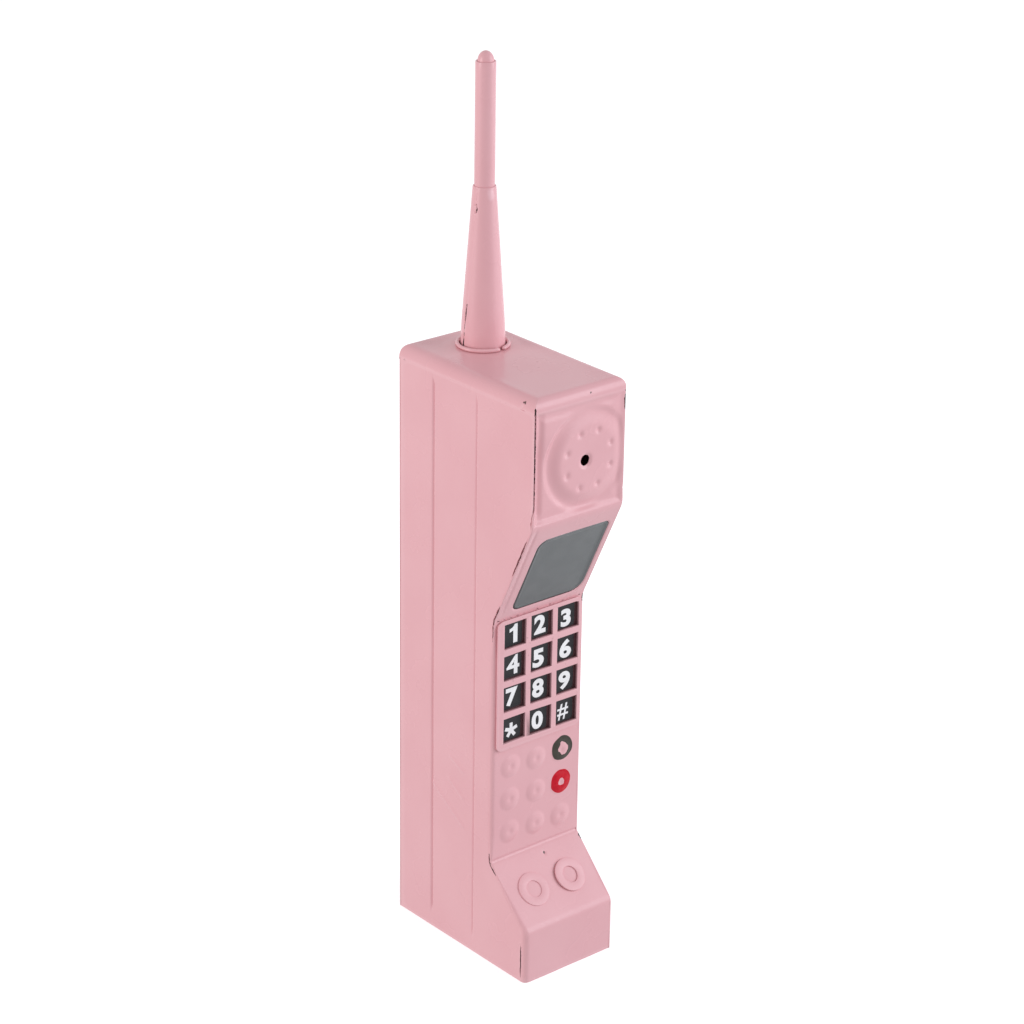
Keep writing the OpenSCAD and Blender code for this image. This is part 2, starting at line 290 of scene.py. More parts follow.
def folded_sheet(track, stations, roll, flat_cols, height, shift=None, half=lambda z: (HALF_W, HALF_W)):
    """Grid of points of a sheet that follows the track and rolls over onto both sides.
    roll(z) gives the radii of the left and right rolled edges; height(x, s, z) is the pressed relief."""
    angles = np.linspace(90, 90 / ROLL_STEPS, ROLL_STEPS)
    rows = []
    for s in stations:
        z0 = track.at(s)[1]
        left_r, right_r = roll(z0)
        left_w, right_w = half(z0)
        turned_out, turned_in = np.sin(np.radians(angles)), 1 - np.cos(np.radians(angles))
        left_x = -(left_w - left_r + left_r * turned_out)
        right_x = (right_w - right_r + right_r * turned_out)[::-1]
        flat_w = left_w + right_w - left_r - right_r
        flat = (np.asarray(flat_cols) + 1) / 2 * flat_w - (left_w - left_r)
        x = np.concatenate([[-left_w], left_x, flat, right_x, [right_w]])
        depth = np.concatenate([[left_r + TUCK], left_r * turned_in, 0 * flat,
                                (right_r * turned_in)[::-1], [right_r + TUCK]])
        along = s + (shift(x, s) if shift else 0 * x)
        base = track.at(along)
        out = track.outward(along)
        rolled = np.where(x < 0, left_r, right_r)
        h = height(x, along, base[:, 1]) * smooth(0, rolled + 0.3, np.minimum(x + left_w, right_w - x))
        yz = base + out * (h - depth)[:, None]
        rows.append(np.column_stack([x, yz]))
    return np.array(rows)


BEND_RADII = (4.2, 0.3, 9, 9)
front_track = Track(rounded_path(FRONT, BEND_RADII))
KNEE_S = front_track.near(KNEE_Z)
HEAD_S = front_track.near(HEAD_Z)


# Radius of the left rolled edge at these heights; the right one is tight throughout
ROLL_Z = (CHIN_Z - 2, CHIN_Z + 4, 36, 43, 50, 119, 127, 139, 168, HEAD_Z + 1)
ROLL_LEFT = (2.2, 1.3, 0.4, 0.9, 1.5, 1.5, 0.25, 0.25, 0.4, 0.4)
RIGHT_EDGE = 0.15


def front_roll(z):
    """Radii of the front's rolled edges at this height."""
    return float(np.interp(z, ROLL_Z, ROLL_LEFT)), RIGHT_EDGE


# How far the head's front sheet stands in from the left and right faces
HEAD_INSET = (0.9, 0.35)


def at_head(z):
    """1 on the head, where the front sheet stands between the side sheets."""
    return float(smooth(HEAD_Z + 2, HEAD_Z + 9, z))


def front_half(z):
    """How far the front sheet reaches to the left and to the right."""
    return [HALF_W - inset * at_head(z) for inset in HEAD_INSET]


# Earpiece
EAR = (3.7, 192.6)
PLATEAU_R = 11.2
VALLEY_R = 16.9
MOAT_R = 19.2
DIMPLE_CENTRE = (4.4, 192.3)
DIMPLE_RING = 10.3
HOLE = (3.05, 192.1)
HOLE_R = 1.95


def head_relief(x, s, z):
    """The pressed border, ring-shaped moat, raised middle and dimples of the earpiece."""
    edge = np.minimum(np.minimum(x + 19.3, 19.6 - x), np.minimum(CAP_Z + 0.2 - z, z - HEAD_Z - 0.8))
    border = smooth(0.1, 1.9, edge) * smooth(4.8, 2.1, edge)
    border = border * (1 - 0.45 * smooth(HEAD_Z + 6, HEAD_Z + 3, z)) * (1 - 0.6 * smooth(12, 17, x))
    h = -border * (0.36 + 0.4 * smooth(-14.5, -17, x)) - 0.06 * smooth(0, 1.5, edge)
    r = np.hypot(x - EAR[0], z - EAR[1])
    lean = 0.35 + 0.65 * smooth(9, -9, 0.8 * (x - EAR[0]) + 0.6 * (z - EAR[1]))
    below = smooth(2, -8, 0.5 * (x - EAR[0]) + 0.85 * (z - EAR[1]))
    rest = 0.55 * below
    moat = smooth(PLATEAU_R, VALLEY_R, r) * (rest + (1 - rest) * smooth(MOAT_R, VALLEY_R - 0.4, r)) * lean
    h = h * smooth(PLATEAU_R, VALLEY_R + 0.5, r) - 1.45 * moat * smooth(-0.2, 2.4, edge)
    for k in range(8):
        a = math.radians(22.5 + 45 * k)
        dx = x - DIMPLE_CENTRE[0] - DIMPLE_RING * math.cos(a)
        dz = z - DIMPLE_CENTRE[1] - DIMPLE_RING * math.sin(a)
        h = h - 0.6 * bell(np.hypot(dx, dz), 1.05 + 0.07 * math.sin(5 * k))
    rim = np.hypot(x - HOLE[0], z - HOLE[1]) - HOLE_R
    h = h - 0.45 * bell(np.maximum(rim, 0), 0.6) - 0.1 * bell(r, 7)
    return h


# Display window, measured down the slope from the bend under the head
WINDOW_W = 31.2
WINDOW_H = 33.8
WINDOW_X = 2.0
WINDOW_DROP = 7.2
WINDOW_RADII = (3.6, 2.2, 4.8, 3.2)


def window_distance(x, s):
    middle = HEAD_S - WINDOW_DROP - WINDOW_H / 2
    return rounded_rect(x - WINDOW_X, s - middle, WINDOW_W, WINDOW_H, WINDOW_RADII)


def upper_relief(x, s, z):
    h = head_relief(x, s, z) * smooth(HEAD_Z - 1, HEAD_Z + 1, z)
    d = window_distance(x, s)
    lip = np.clip(1 - d / 0.75, 0, 1)
    h = h + np.where(d < 0.75, 0.1 * np.sin(np.pi * lip) - 0.3 * lip ** 2, 0)
    h = h - 0.25 * bell(x + 17.7, 0.6) * smooth(133, 140, z) * smooth(174, 169, z)
    h = h + 0.05 * (waves(x, z, 17, 3) - 1) * smooth(CAP_Z, CAP_Z - 4, z)
    return h


def upper_spacing(z):
    if z < HEAD_Z - 4:
        return 0.5
    if z < HEAD_Z + 3:
        return 0.32
    return 0.42


def knee_gap(x, s):
    """The uneven lower edge of the upper sheet."""
    rough = -0.06 + 0.5 * waves(x, 0 * x, 2.1, 11) + 0.45 * waves(x, 0 * x, 0.9, 5)
    return np.clip(rough, 0.0, 0.8) * smooth(KNEE_S + 2.6, KNEE_S + 0.1, s)


flat_fine = np.linspace(-1, 1, 98)
upper_stations = front_track.stations(upper_spacing, keep=[KNEE_S, HEAD_S])
upper_stations = upper_stations[upper_stations >= KNEE_S]
upper = folded_sheet(front_track, upper_stations, front_roll, flat_fine, upper_relief, knee_gap, front_half)
upper_s = upper_stations[:, None] + 0 * upper[..., 0]
field = window_distance(upper[..., 0], upper_s)
field = np.minimum(field, np.hypot(upper[..., 0] - HOLE[0], upper[..., 2] - HOLE[1]) - HOLE_R)
front_upper = piece("front_upper_sheet", *clipped_grid(upper, field), "casing", ["front_upper_panel"])
thicken(front_upper, 0.5)

# Pressed buttons
BUTTON_X = (-11.7, -0.1, 11.5)
BUTTON_Z = (75.0, 62.2, 49.4)
BUTTON_R = 4.45
ROW_TILT = 0.045


def lower_relief(x, s, z):
    h = 0.05 * (waves(x, z, 19, 21) - 1) * smooth(KNEE_Z, KNEE_Z - 4, z)
    for i, bx in enumerate(BUTTON_X):
        for j, bz in enumerate(BUTTON_Z):
            r = np.hypot(x - bx - 0.15 * math.sin(3 * i + 5 * j), z - bz + ROW_TILT * bx)
            t = np.clip(r / BUTTON_R, 0, 1)
            h = h + 0.62 * (1 - t ** 2.6) ** 1.1 - 0.36 * bell(r, 1.1)
    nick = np.hypot(x - 2.7, z - 37.4)
    h = h - 0.25 * bell(nick, 0.4)
    return h - 0.3 * bell(z - MOUTH_Z - 0.6, 0.5)


def lower_spacing(z):
    if any(abs(z - bend) < 2.2 for bend in (CHIN_Z, MOUTH_Z, KNEE_Z)):
        return 0.28
    if 44 < z < 81 or abs(z - 37.4) < 1.5:
        return 0.42
    return 1.3


OPENING_HALF = 18.1
OPENING = (grid_low[2] + 0.65, grid_high[2] - 0.65)
opening_s = [front_track.near(z) for z in OPENING]
lower_stations = front_track.stations(lower_spacing, keep=opening_s + [KNEE_S])
lower_stations = lower_stations[lower_stations <= KNEE_S]
lower = folded_sheet(front_track, lower_stations, front_roll, flat_fine, lower_relief)
lower_s = lower_stations[:, None] + 0 * lower[..., 0]
centre_s, half_s = (opening_s[0] + opening_s[1]) / 2, (opening_s[1] - opening_s[0]) / 2
opening = np.maximum(np.abs(lower[..., 0]) - OPENING_HALF, np.abs(lower_s - centre_s) - half_s)
front_lower = piece("front_lower_sheet", *clipped_grid(lower, opening), "casing", ["front_lower_panel"])
thicken(front_lower, 0.5)

back_track = Track(np.array([(-HALF_D, 0), (-HALF_D, CAP_Z)], float))
back_points = folded_sheet(back_track, back_track.stations(lambda z: 4.0), lambda z: (0.35, 0.35),
                           np.linspace(-1, 1, 14), lambda x, s, z: 0.1 * waves(x, z, 60, 9) - 0.1)
back_points[..., 1] *= -1
back = piece("back_sheet", *clipped_grid(back_points, flip=True), "casing", ["back_panel"])
thicken(back)

# ---- Side sheets ----
SEAM = 0.16
OPEN_GAP = 0.4
CREASES = (-6.0, 17.0)
FIELD_DROP = 0.24
RIBS = (((16.8, 58.8), (-0.8, 47.4)), ((7.8, 64.1), (-0.7, 58.5)), ((7.3, 73.0), (-0.6, 69.1)))
OPEN_LEFT = ((2, 14), (37.5, 42.5), (126.5, 138.5), (153.5, 167.5), (173.5, 213))
OPEN_RIGHT = ((37.5, 39), (130, 132.5), (207, 211.5))


def rib_height(y, z):
    h = 0
    for (y0, z0), (y1, z1) in RIBS:
        length = math.hypot(y1 - y0, z1 - z0)
        u, w = (y1 - y0) / length, (z1 - z0) / length
        t = (y - y0) * u + (z - z0) * w
        off = -(y - y0) * w + (z - z0) * u
        h = h + bell(off, 0.55) * smooth(-0.8, 0.8, t) * smooth(length + 0.8, length - 0.8, t)
    return h


def side_relief(y, z):
    """How far the side sheet lies inside its outer plane."""
    ends = smooth(5, 9, z) * smooth(212.5, 209, z)
    field = smooth(CREASES[0] - 0.3, CREASES[0] + 0.9, y) * smooth(CREASES[1] + 0.3, CREASES[1] - 0.9, y)
    groove = bell(y - CREASES[0], 0.36) + bell(y - CREASES[1], 0.36)
    ribs = rib_height(y, z)
    bulge = 0.05 * waves(y, z, 45, 31)
    level = smooth(CAP_Z, CAP_Z - 5, z) * (0.07 + bulge)
    return ends * (FIELD_DROP * field + 0.6 * groove) - 0.27 * ribs + level


def in_any(z, spans, soft=1.2):
    return max(float(smooth(a - soft, a + soft, z) * smooth(b + soft, b - soft, z)) for a, b in spans)


def side_inset(z, sign):
    """How far behind the front's outline the side sheet begins."""
    roll = front_roll(z)[0 if sign < 0 else 1]
    return (roll + 0.12 + SEAM) * (1 - at_head(z)) + 0.04 * at_head(z)


def seam_place(z, sign):
    """Where the seam between the front and a side lies at this height."""
    s = front_track.near(z)
    y, z = front_track.at(s) - front_track.outward(s) * (side_inset(z, sign) - SEAM / 2)
    return (sign * HALF_W, y, z)


def side_points(sign):
    spans = OPEN_LEFT if sign < 0 else OPEN_RIGHT
    s = front_track.stations(lambda z: 0.5)
    inset = np.array([side_inset(z, sign) for z in front_track.at(s)[:, 1]])
    edge = front_track.at(s) - front_track.outward(s) * inset[:, None]
    order = np.argsort(edge[:, 1])
    edge_y, edge_z = edge[order, 0], edge[order, 1]
    zs = [0.0]
    while zs[-1] < CAP_Z:
        z = zs[-1]
        bend = any(abs(z - b) < 4 for b in (CHIN_Z, MOUTH_Z, KNEE_Z, HEAD_Z))
        zs.append(z + (0.5 if bend or 44 < z < 76 else 1.2))
    zs[-1] = CAP_Z
    fixed = [-12.0, -9.5, -7.6]
    for c in CREASES:
        fixed += [c + d for d in (-1.2, -0.8, -0.5, -0.25, 0, 0.25, 0.5, 0.8, 1.2)]
    fixed += list(np.arange(CREASES[0] + 1.7, CREASES[1] - 1.3, 0.5)) + [20, 24, 28, 31]
    fixed = np.array(sorted(fixed))
    back_y = HALF_D - 0.35 - 0.12 - 0.12
    lead = np.array([0, 0.06, 0.14, 0.3, 0.5, 0.72, 0.88])
    rows = []
    for z in zs:
        y_edge = np.interp(z, edge_z, edge_y)
        openness = in_any(z, spans)
        floor = 0.16 + 1.2 * openness
        uneven = 0.85 + 0.25 * math.sin(1.7 * z) + 0.15 * math.sin(4.1 * z)
        gap = OPEN_GAP * openness * uneven * (1 - at_head(z))
        y_edge += gap
        flange = 0.4 * (1 - at_head(z))
        ys = np.concatenate([[y_edge - flange, y_edge - 0.02], y_edge + lead * (-12.0 - y_edge),
                             fixed, [back_y - 0.02, back_y + 0.4]])
        inside = side_relief(ys, z)
        inside[:2] = floor
        inside[2] += 0.05
        inside[-1] = 0.5
        if at_head(z) > 0.5:
            inside[0], inside[1], inside[2] = 0.4, 0.06, 0.02
            ys[0] = y_edge + 0.1
        rows.append(np.column_stack([sign * (HALF_W - inside), ys, np.full(len(ys), z)]))
    return np.array(rows)


for name, sign in (("left", -1), ("right", 1)):
    ob = piece(f"{name}_side_sheet", *clipped_grid(side_points(sign), flip=sign < 0),
               "casing", [f"{name}_side_panel"])
    thicken(ob, 0.35)

# ---- Top ----
LEVELS = TOP_ROLL * (1 - np.cos(np.radians(np.linspace(0, 90, 13))))
RIGHT_ROLL = 3.0
FRONT_ROLL = 3.2
BACK_ROLL = 2.0


def roll_place(half, radius):
    """How far out a rolled edge of this radius lies at each level below the top."""
    d = np.minimum(LEVELS, radius)
    return half - radius + np.sqrt(np.maximum(2 * radius * d - d * d, 0))


def roll_axis(half, low_roll, high_roll, spacing):
    """Places across the top, with the rolled edges at both ends, and their drops."""
    low, high = -roll_place(half, low_roll)[::-1], roll_place(half, high_roll)
    middle = np.linspace(low[-1], high[0], int((high[0] - low[-1]) / spacing) + 2)[1:-1]
    return np.concatenate([low, middle, high]), np.concatenate([LEVELS[::-1], 0 * middle, LEVELS])


top_x, drop_x = roll_axis(HALF_W, TOP_ROLL, RIGHT_ROLL, 0.75)
top_y, drop_y = roll_axis(HALF_D, FRONT_ROLL, BACK_ROLL, 0.75)
gx, gy = np.meshgrid(top_x, top_y)
drop = np.maximum(drop_x[None, :], drop_y[:, None])
inner = smooth(HALF_W - 1, HALF_W - 8, np.abs(gx)) * smooth(HALF_D - 1, HALF_D - 8, np.abs(gy))
away = smooth(10.5, 14, np.hypot(gx - AXIS_X, gy - AXIS_Y))
top_points = np.stack([gx, gy, BODY_H - drop - 0.12 * inner * away * (1 + waves(gx, gy, 30, 41))], -1)
nick = np.hypot(np.abs(gy + 29.8), gx + HALF_W)
top_points[..., 0] += 0.3 * bell(nick, 0.7)
top_field = np.hypot(gx - AXIS_X, gy - AXIS_Y) - FOOT_R - 0.3
top = piece("top_sheet", *clipped_grid(top_points, top_field), "casing", ["top_cap"], sharp=25)
thicken(top)

# ---- Display ----
slope_dir = np.array([-(HALF_D + KEYPAD_Y), HEAD_Z - KNEE_Z]) / SLOPE_LEN
slope_out = np.array([-slope_dir[1], slope_dir[0]])
PANE_SINK = 0.3


def pane_points():
    w, h = WINDOW_W + 1.6, WINDOW_H + 1.6
    xs = np.linspace(-w / 2, w / 2, 120)
    ss = np.linspace(-h / 2, h / 2, 120)
    x, s = np.meshgrid(xs, ss)
    d = rounded_rect(x, s, WINDOW_W - 0.3, WINDOW_H - 0.3, WINDOW_RADII)
    sink = PANE_SINK + 0.6 * smooth(-0.4, -0.05, d)
    right_dip = -0.22 * smooth(WINDOW_W / 2 - 2.8, WINDOW_W / 2 - 0.4, x)
    bevel = -0.14 * smooth(-1.3, -0.9, d)
    sink = sink + right_dip + bevel + 0.03 * waves(x, s, 26, 51)
    top_corner = np.array([-HALF_D, HEAD_Z])
    down = WINDOW_DROP + WINDOW_H / 2 - s
    yz = top_corner - down[..., None] * slope_dir - sink[..., None] * slope_out
    return np.concatenate([(x + WINDOW_X)[..., None], yz], -1)


display = piece("display_sheet", *clipped_grid(pane_points()), "casing", ["display_pane"], "grey_paint")
thicken(display, 0.5)

# ---- Keypad ----
key_names = ["1", "2", "3", "4", "5", "6", "7", "8", "9", "star", "0", "hash"]
WELL = (9.7, 9.5)


def sag(x, z):
    """How far the lower right of the keypad hangs below its drawn place."""
    inside = smooth(grid_low[2] + 0.2, grid_low[2] + 1.6, z)
    return 0.55 * smooth(-12, 12, x) * smooth(125, 95, z) * inside


FRAME_R = 2.6
CORNER_TURNS = (9, 18, 27, 36)


def corner_lines(low, high):
    """Extra grid lines near both ends, so that the corners can be rounded."""
    steps = [FRAME_R * (1 - math.tan(math.radians(t))) for t in CORNER_TURNS]
    return [low + FRAME_R, high - FRAME_R] + [low + d for d in steps] + [high - d for d in steps]


def round_corner(x, z, low, high):
    """Moves a point of a rectangle's corner square into a quarter disc."""
    cx = min(max(x, low[0] + FRAME_R), high[0] - FRAME_R)
    cz = min(max(z, low[1] + FRAME_R), high[1] - FRAME_R)
    u, w = x - cx, z - cz
    if u and w:
        shrink = max(abs(u), abs(w)) / math.hypot(u, w)
        return cx + u * shrink, cz + w * shrink
    return x, z


def keypad_grid_mesh():
    """A plate with rounded corners and twelve square wells, a little uneven."""
    centres = []
    for key in key_names:
        low, high = box_mm(f"key_{key}")
        centres.append((low[0] - 0.2 + WELL[0] / 2, (low[2] + high[2]) / 2))
    cols = sorted({round(float(c[0]), 3) for c in centres})
    rows = sorted({round(float(c[1]), 3) for c in centres})
    low, high = grid_low[[0, 2]], grid_high[[0, 2]]
    well_x = [(c - WELL[0] / 2, c + WELL[0] / 2) for c in cols]
    well_z = [(c - WELL[1] / 2, c + WELL[1] / 2) for c in rows]
    xs = sorted([low[0], high[0], *corner_lines(low[0], high[0]), *sum(well_x, ())])
    zs = sorted([low[1], high[1], *corner_lines(low[1], high[1]), *sum(well_z, ())])
    shift = {}
    for x in sum(well_x, ()):
        for z in sum(well_z, ()):
            shift[x, z] = (RNG.uniform(-0.13, 0.13), RNG.uniform(-0.13, 0.13))
    bm = bmesh.new()
    verts = {}
    for k, y in enumerate((grid_low[1], KEYPAD_Y + 0.75)):
        inset = 0.65 * k
        for i, x in enumerate(xs):
            for j, z in enumerate(zs):
                px, pz = round_corner(x, z, low, high)
                dx, dz = shift.get((x, z), (0, 0))
                px = min(max(px + dx, low[0] + inset), high[0] - inset)
                pz = min(max(pz + dz - float(sag(px, pz)), low[1] + inset), high[1] - inset)
                verts[k, i, j] = bm.verts.new(Vector((px, y, pz)) * MM)

    def in_well(i, j):
        if not (0 <= i < len(xs) - 1 and 0 <= j < len(zs) - 1):
            return True
        mx, mz = (xs[i] + xs[i + 1]) / 2, (zs[j] + zs[j + 1]) / 2
        return any(a < mx < b for a, b in well_x) and any(a < mz < b for a, b in well_z)

    for i in range(len(xs) - 1):
        for j in range(len(zs) - 1):
            if in_well(i, j):
                continue
            ring = [(i, j), (i + 1, j), (i + 1, j + 1), (i, j + 1)]
            bm.faces.new([verts[0, *p] for p in ring])
            bm.faces.new([verts[1, *p] for p in ring[::-1]])
            for near, p, q in (((i, j - 1), ring[0], ring[1]), ((i + 1, j), ring[1], ring[2]),
                               ((i, j + 1), ring[2], ring[3]), ((i - 1, j), ring[3], ring[0])):
                if in_well(*near):
                    bm.faces.new([verts[0, *q], verts[0, *p], verts[1, *p], verts[1, *q]])
    loose = [v for v in bm.verts if not v.link_faces]
    bmesh.ops.delete(bm, geom=loose, context="VERTS")
    margin = 1.2
    corners = [e for e in bm.edges if abs(e.verts[0].co.y - e.verts[1].co.y) > 0.5 * MM
               and e.calc_face_angle(0) > 1
               and all(low[0] + margin < v.co.x / MM < high[0] - margin for v in e.verts)
               and all(low[1] + margin < v.co.z / MM < high[1] - margin for v in e.verts)]
    bmesh.ops.bevel(bm, geom=corners, offset=0.8 * MM, segments=4, profile=0.5,
                    affect="EDGES", clamp_overlap=True)
    return bm


bm = keypad_grid_mesh()
mesh = bpy.data.meshes.new("keypad_grid_frame")
bm.to_mesh(mesh)
bm.free()
keypad = new_object("keypad_grid_frame", mesh)
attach(keypad, "casing")
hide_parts("keypad_grid")
soften(keypad, 0.5, 4, 50)
keypad.data.polygons.foreach_set("use_smooth", [True] * len(keypad.data.polygons))

PLATE_Y = KEYPAD_Y + 0.45


def plate_mesh(low, high, bow):
    """A thin, slightly bowed number plate with rounded corners and a closed back."""
    xs = np.linspace(low[0], high[0], 9)
    zs = np.linspace(low[2], high[2], 9)
    gx_, gz_ = np.meshgrid(xs, zs)
    cx, cz = (low[0] + high[0]) / 2, (low[2] + high[2]) / 2
    w, h = high[0] - low[0], high[2] - low[2]
    pull = 0.25 * (np.abs(gx_ - cx) * 2 / w) ** 8 * (np.abs(gz_ - cz) * 2 / h) ** 8
    gx_ = gx_ - np.sign(gx_ - cx) * pull
    gz_ = gz_ - np.sign(gz_ - cz) * pull - sag(gx_, gz_)
    gy_ = PLATE_Y + bow * (((gx_ - cx) / w) ** 2 + ((gz_ - cz) / h) ** 2)
    return np.stack([gx_, gy_, gz_], -1)


# Outline of the 1, from the foot round the flag, in heights of the number
ONE = [(0.25, 0), (0.53, 0), (0.53, 1), (0.34, 1), (0.27, 0.9),
       (0.17, 0.83), (0, 0.78), (0, 0.6), (0.25, 0.67)]


def star_outline(reach, half):
    """A five-armed star with square ends."""
    out = []
    for k in range(5):
        a = math.radians(90 + 72 * k)
        u, v = (math.cos(a), math.sin(a)), (-math.sin(a), math.cos(a))
        out += [(reach * u[0] - half * v[0], reach * u[1] - half * v[1]),
                (reach * u[0] + half * v[0], reach * u[1] + half * v[1])]
        b = a + math.radians(36)
        notch = half / math.sin(math.radians(36))
        out.append((notch * math.cos(b), notch * math.sin(b)))
    return out


def outline_mesh(name, outline, size):
    """A flat closed plate of ink with this outline."""
    n, ink = len(outline), 0.04
    verts = [(x * size, y * size, z) for z in (0, ink) for x, y in outline]
    faces = [list(range(n))[::-1], list(range(n, 2 * n))]
    faces += [[i, (i + 1) % n, n + (i + 1) % n, n + i] for i in range(n)]
    me = bpy.data.meshes.new(name)
    me.from_pydata([[c * MM for c in v] for v in verts], [], faces)
    return me


INK_SPREAD = {"4": 0.022, "#": 0.01, "6": 0.04, "8": 0.04, "9": 0.04}


def font_mesh(name, text, size):
    curve = bpy.data.curves.new(name, "FONT")
    curve.body = text
    curve.size = size * MM
    curve.offset = INK_SPREAD.get(text, 0.046) * size * MM
    curve.extrude = 0.02 * MM
    curve.resolution_u = 6
    temp = new_object(name + "_curve", curve)
    bpy.context.view_layer.update()
    me = bpy.data.meshes.new_from_object(temp.evaluated_get(bpy.context.evaluated_depsgraph_get()))
    bpy.data.objects.remove(temp)
    bpy.data.curves.remove(curve)
    me.name = name
    return me


DIGIT_H = 6.8
FONT_CAPITAL = 0.72   # height of a capital, in sizes of the font
# How each hand-placed number lies on its plate, right and up, and its height and width
DIGIT_LOOK = {"1": (0.45, -0.3, 1.02, 0.96), "2": (0.6, 0.0, 1.04, 1.1), "3": (0.4, -0.9, 0.98, 1.2),
              "4": (0.65, 0.0, 1.06, 1.16), "5": (0.0, -1.0, 1.02, 1.19), "6": (0.45, -0.85, 1.04, 1.2),
              "7": (0.25, -0.3, 1.02, 1.1), "8": (0.0, -0.6, 1.04, 1.12), "9": (0.3, -1.0, 1.02, 1.2),
              "star": (0.2, -0.85, 0.93, 1.0), "0": (0.15, -0.9, 1.0, 1.12), "hash": (0.0, -1.15, 0.9, 0.97)}


def digit(key, centre, y):
    """A bold number, a little raised as thick ink is."""
    name = f"digit_{key}"
    if key == "1":
        me = outline_mesh(name, ONE, DIGIT_H)
    elif key == "star":
        me = outline_mesh(name, star_outline(0.44, 0.105), DIGIT_H)
    else:
        me = font_mesh(name, {"hash": "#"}.get(key, key), DIGIT_H / FONT_CAPITAL)
    co = np.array([v.co for v in me.vertices])
    mid = (co.min(0) + co.max(0)) / 2
    across, above, tall, widen = DIGIT_LOOK[key]
    scale = DIGIT_H * MM / (co[:, 1].max() - co[:, 1].min()) if key != "star" else 1.0
    scale = scale * tall
    spot = Vector((centre[0] + across, y, centre[1] + above)) * MM
    place = Matrix.Translation(spot) @ Matrix.Rotation(math.pi / 2, 4, "X")
    me.transform(place @ Matrix.Diagonal((scale * widen, scale, 1, 1)) @ Matrix.Translation(-Vector(mid)))
    ob = new_object(name, me)
    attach(ob, "casing")
    return ob


plates, digits = [], []
for key in key_names:
    low, high = box_mm(f"key_{key}")
    ob = piece(f"number_plate_{key}", *clipped_grid(plate_mesh(low, high, RNG.uniform(0.0, 0.2))),
               "casing", [f"key_{key}"], "number_plate")
    thicken(ob, 0.3)
    plates.append(ob)
    middle = (low + high) / 2
    centre = (middle[0] + RNG.uniform(-0.2, 0.1), middle[2] + RNG.uniform(-0.15, 0.15))
    digits.append(digit(key, centre, PLATE_Y - 0.03))

# ---- Mouth washers ----
mouth_dir = np.array([KEYPAD_Y + HALF_D, MOUTH_Z - CHIN_Z])
mouth_dir = mouth_dir / np.linalg.norm(mouth_dir)


def washer(name, node, tilt, sunk):
    low, high = box_mm(node)
    outer, bore, thick, edge = 6.2, 3.05, 0.6, 0.15
    ring = []
    for cr, ch, a0 in ((outer - edge, thick - edge, 90), (bore + edge, thick - edge, 180),
                       (bore + edge, edge, 270), (outer - edge, edge, 360)):
        for k in range(5):
            a = math.radians(a0 - 90 + 90 * k / 4)
            ring.append((cr + edge * math.cos(a), ch + edge * math.sin(a)))
    steps = 96
    verts = []
    for k in range(steps):
        a = math.tau * k / steps
        for r, t in ring:
            wobble = 1 + 0.004 * math.sin(3 * a + tilt) + 0.003 * math.sin(5 * a)
            lx, ls = r * wobble * math.cos(a), r * wobble * math.sin(a)
            verts.append((lx, ls, t - tilt * lx / outer))
    centre = (low + high) / 2
    along = np.array([0, *mouth_dir])
    out = np.array([0, -mouth_dir[1], mouth_dir[0]])
    base = centre - out * (thick / 2 + sunk)
    placed = [base + np.array([x, 0, 0]) + along * s + out * t for x, s, t in verts]
    return piece(name, placed, band_faces(steps, len(ring)), "casing", [node])


washers = [washer("mouth_ring_left", "mouth_washer_left", 0.05, 0.28),
           washer("mouth_ring_right", "mouth_washer_right", 0.32, 0.08)]

# ---- Antenna ----
SEAM_FOOT, SEAM_TURN = 168.0, 0.45
SEAM_OPEN = ((218.5, 223), (227, 233.5))
NICK_ANGLE, NICK_Z, NICK_R = 180.0, 266.9, 1.3
RUN_ANGLE, RUN_Z = 262.0, 271.8


def seam_angle(z):
    """The lapped seam turns a little as it climbs."""
    return SEAM_FOOT + SEAM_TURN * (z - BODY_H)


def arc_from(angle, a, r):
    """Distance round the cone from a place given in degrees."""
    return math.radians((math.degrees(a) - angle + 180) % 360 - 180) * r


def cone_shape(a, r, z):
    """The rolled cone's lapped seam, the crescent nick and the paint run near its mouth."""
    if r <= 3.9 or z < BODY_H - 5:
        return r
    arc = arc_from(seam_angle(z), a, r)
    step = -0.16 * bell(arc - 0.15, 0.3) - 0.5 * bell(arc, 0.22) * in_any(z, SEAM_OPEN, 0.8)
    lap = -0.12 * smooth(-4.0, -0.3, arc) if arc < 0 else 0
    away = arc_from(NICK_ANGLE, a, r)
    distance = math.hypot(away, z - NICK_Z)
    nick = -0.45 * bell(distance - NICK_R, 0.2) * smooth(-0.3, 0.4, away) - 0.12 * bell(distance, 0.9)
    run = 0.12 * bell(math.hypot(arc_from(RUN_ANGLE, a, r) / 1.1, (z - RUN_Z) / 1.7), 1.0)
    return r + step + lap + nick + run + 0.02 * math.sin(3 * a + z / 19)


def cone_r(z):
    """Radius of the cone's straight taper."""
    return FOOT_R + (MOUTH_R - FOOT_R) * max((z - TAPER_Z) / (CONE_TOP - TAPER_Z), 0)


